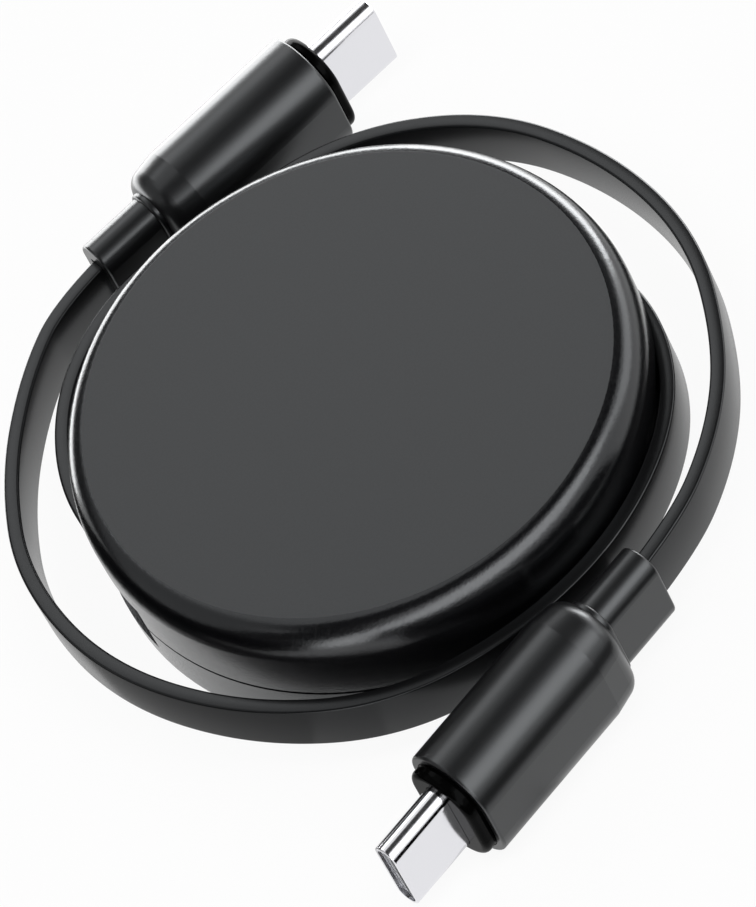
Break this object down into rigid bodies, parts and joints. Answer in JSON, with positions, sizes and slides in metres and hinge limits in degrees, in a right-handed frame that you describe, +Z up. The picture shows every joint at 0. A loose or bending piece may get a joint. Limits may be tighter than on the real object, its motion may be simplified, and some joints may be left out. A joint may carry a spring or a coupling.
{
  "type": "retractable flat charging cable",
  "caption": "Flat charging cable on a sprung reel in a round flat case; each end leaves through a side slot, loops round the case and ends in an oval grip with a metal plug.",
  "frame": {"origin": "middle of the case's flat underside, on the reel's axis", "axes": "+Z up along the reel's axis; the two cable slots lie on +X and -X; -Y is the side the picture is taken from"},
  "size_m": [0.0639, 0.0849, 0.0148],
  "materials": {
    "case": "fine satin, moulded",
    "reel": "moulded, plain",
    "spring_steel": "rolled strip",
    "jacket": "smooth matte",
    "pawl": "natural acetal",
    "grip": "semi-gloss, moulded",
    "core": "glossy",
    "plug_shell": "bright nickel plate",
    "insulator": "plain",
    "contacts": "gold flash",
    "board": "solder mask",
    "wires": "insulated cores"
  },
  "bodies": {
    "case": {"lower_shell": "case", "upper_shell": "case", "cable_a": "jacket", "cable_b": "jacket", "plug_a_sleeve": "grip", "plug_a_core": "core", "plug_a_shell": "plug_shell", "plug_a_insulator": "insulator", "plug_a_contacts": "contacts", "plug_a_latch": "spring_steel", "plug_a_board": "board", "plug_a_wires": "wires", "plug_b_sleeve": "grip", "plug_b_core": "core", "plug_b_shell": "plug_shell", "plug_b_insulator": "insulator", "plug_b_contacts": "contacts", "plug_b_latch": "spring_steel", "plug_b_board": "board", "plug_b_wires": "wires"},
    "reel": {"spool": "reel", "spool_cover": "reel", "wound_cable": "jacket", "power_spring": "spring_steel"},
    "pawl": {"pawl": "pawl"}
  },
  "joints": [
    {"name": "reel_spin", "type": "hinge", "parent": "case", "child": "reel", "pos_m": [0, 0, 0.0062], "axis": [0, 0, 1], "range_deg": [-1350, 330], "deforming": ["power_spring"]},
    {"name": "pawl_swing", "type": "hinge", "parent": "case", "child": "pawl", "pos_m": [0.01237, 0.01237, 0.0113], "axis": [0, 0, 1], "range_deg": [0, 6.3]}
  ]
}
